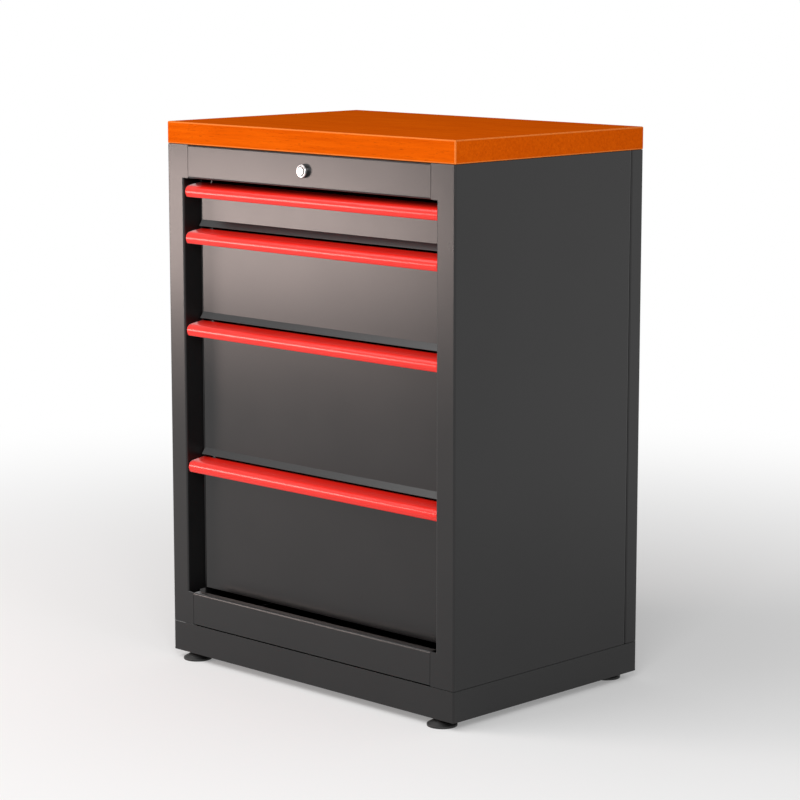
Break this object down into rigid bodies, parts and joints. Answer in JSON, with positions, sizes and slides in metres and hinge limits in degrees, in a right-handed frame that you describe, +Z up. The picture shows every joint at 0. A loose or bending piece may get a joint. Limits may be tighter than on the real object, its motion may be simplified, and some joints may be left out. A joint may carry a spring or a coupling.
{
  "type": "workshop drawer cabinet",
  "caption": "Workshop drawer cabinet on levelling feet, with a wooden worktop, full-width grip handles, telescopic slides and a central lock.",
  "frame": {"origin": "on the floor, under the middle of the whole cabinet, its lock head included", "axes": "+Z up, +X to the right of a person who faces the drawers, drawers open towards -Y"},
  "size_m": [0.68, 0.4662, 0.9473],
  "materials": {
    "black_paint": "fine powder coat, semi-gloss",
    "red_paint": "gloss powder coat",
    "orange_wood": "stained and lacquered, fine grain",
    "zinc_steel": "bright zinc plate",
    "chrome": "polished",
    "black_plastic": "moulded, matt"
  },
  "bodies": {
    "cabinet": {"worktop": "orange_wood", "side_panel_left": "black_paint", "side_panel_right": "black_paint", "slide_carrier_left": "black_paint", "slide_carrier_right": "black_paint", "back_panel": "black_paint", "top_panel": "black_paint", "bottom_panel": "black_paint", "top_rail": "black_paint", "bottom_rail": "black_paint", "plinth_frame": "black_paint", "lock_barrel": "chrome", "lock_nut": "zinc_steel", "slide_outer_1_left": "zinc_steel", "slide_outer_1_right": "zinc_steel", "slide_outer_2_left": "zinc_steel", "slide_outer_2_right": "zinc_steel", "slide_outer_3_left": "zinc_steel", "slide_outer_3_right": "zinc_steel", "slide_outer_4_left": "zinc_steel", "slide_outer_4_right": "zinc_steel"},
    "drawer_1": {"drawer_front_1": "black_paint", "drawer_handle_1": "red_paint", "drawer_box_1": "black_paint", "slide_inner_1_left": "zinc_steel", "slide_inner_1_right": "zinc_steel"},
    "slides_1": {"slide_middle_1_left": "zinc_steel", "slide_middle_1_right": "zinc_steel"},
    "drawer_2": {"drawer_front_2": "black_paint", "drawer_handle_2": "red_paint", "drawer_box_2": "black_paint", "slide_inner_2_left": "zinc_steel", "slide_inner_2_right": "zinc_steel"},
    "slides_2": {"slide_middle_2_left": "zinc_steel", "slide_middle_2_right": "zinc_steel"},
    "drawer_3": {"drawer_front_3": "black_paint", "drawer_handle_3": "red_paint", "drawer_box_3": "black_paint", "slide_inner_3_left": "zinc_steel", "slide_inner_3_right": "zinc_steel"},
    "slides_3": {"slide_middle_3_left": "zinc_steel", "slide_middle_3_right": "zinc_steel"},
    "drawer_4": {"drawer_front_4": "black_paint", "drawer_handle_4": "red_paint", "drawer_box_4": "black_paint", "slide_inner_4_left": "zinc_steel", "slide_inner_4_right": "zinc_steel"},
    "slides_4": {"slide_middle_4_left": "zinc_steel", "slide_middle_4_right": "zinc_steel"},
    "lock_cylinder": {"lock_plug": "chrome", "lock_rod": "zinc_steel"},
    "locking_bar": {"lock_bar": "zinc_steel"},
    "foot_front_left": {"foot_pad_front_left": "black_plastic", "foot_stud_front_left": "zinc_steel"},
    "foot_front_right": {"foot_pad_front_right": "black_plastic", "foot_stud_front_right": "zinc_steel"},
    "foot_rear_left": {"foot_pad_rear_left": "black_plastic", "foot_stud_rear_left": "zinc_steel"},
    "foot_rear_right": {"foot_pad_rear_right": "black_plastic", "foot_stud_rear_right": "zinc_steel"}
  },
  "joints": [
    {"name": "drawer_1_slide", "type": "slide", "parent": "cabinet", "child": "drawer_1", "axis": [0, -1, 0], "range_m": [0, 0.38]},
    {"name": "slides_1_travel", "type": "slide", "parent": "cabinet", "child": "slides_1", "axis": [0, -1, 0], "range_m": [0, 0.19]},
    {"name": "drawer_2_slide", "type": "slide", "parent": "cabinet", "child": "drawer_2", "axis": [0, -1, 0], "range_m": [0, 0.38]},
    {"name": "slides_2_travel", "type": "slide", "parent": "cabinet", "child": "slides_2", "axis": [0, -1, 0], "range_m": [0, 0.19]},
    {"name": "drawer_3_slide", "type": "slide", "parent": "cabinet", "child": "drawer_3", "axis": [0, -1, 0], "range_m": [0, 0.38]},
    {"name": "slides_3_travel", "type": "slide", "parent": "cabinet", "child": "slides_3", "axis": [0, -1, 0], "range_m": [0, 0.19]},
    {"name": "drawer_4_slide", "type": "slide", "parent": "cabinet", "child": "drawer_4", "axis": [0, -1, 0], "range_m": [0, 0.38]},
    {"name": "slides_4_travel", "type": "slide", "parent": "cabinet", "child": "slides_4", "axis": [0, -1, 0], "range_m": [0, 0.19]},
    {"name": "lock_turn", "type": "hinge", "parent": "cabinet", "child": "lock_cylinder", "pos_m": [0, -0.22495, 0.8805], "axis": [0, 1, 0], "range_deg": [0, 90]},
    {"name": "lock_bar_lift", "type": "slide", "parent": "cabinet", "child": "locking_bar", "axis": [0, 0, 1], "range_m": [0, 0.01414]},
    {"name": "foot_front_left_height", "type": "slide", "parent": "cabinet", "child": "foot_front_left", "axis": [0, 0, -1], "range_m": [0, 0.015]},
    {"name": "foot_front_right_height", "type": "slide", "parent": "cabinet", "child": "foot_front_right", "axis": [0, 0, -1], "range_m": [0, 0.015]},
    {"name": "foot_rear_left_height", "type": "slide", "parent": "cabinet", "child": "foot_rear_left", "axis": [0, 0, -1], "range_m": [0, 0.015]},
    {"name": "foot_rear_right_height", "type": "slide", "parent": "cabinet", "child": "foot_rear_right", "axis": [0, 0, -1], "range_m": [0, 0.015]}
  ],
  "couplings": [
    {"joint": "slides_1_travel", "follows": "drawer_1_slide", "ratio": 0.5},
    {"joint": "slides_2_travel", "follows": "drawer_2_slide", "ratio": 0.5},
    {"joint": "slides_3_travel", "follows": "drawer_3_slide", "ratio": 0.5},
    {"joint": "slides_4_travel", "follows": "drawer_4_slide", "ratio": 0.5},
    {"joint": "lock_turn", "follows": "lock_bar_lift", "rad_per_m": 111.08}
  ]
}
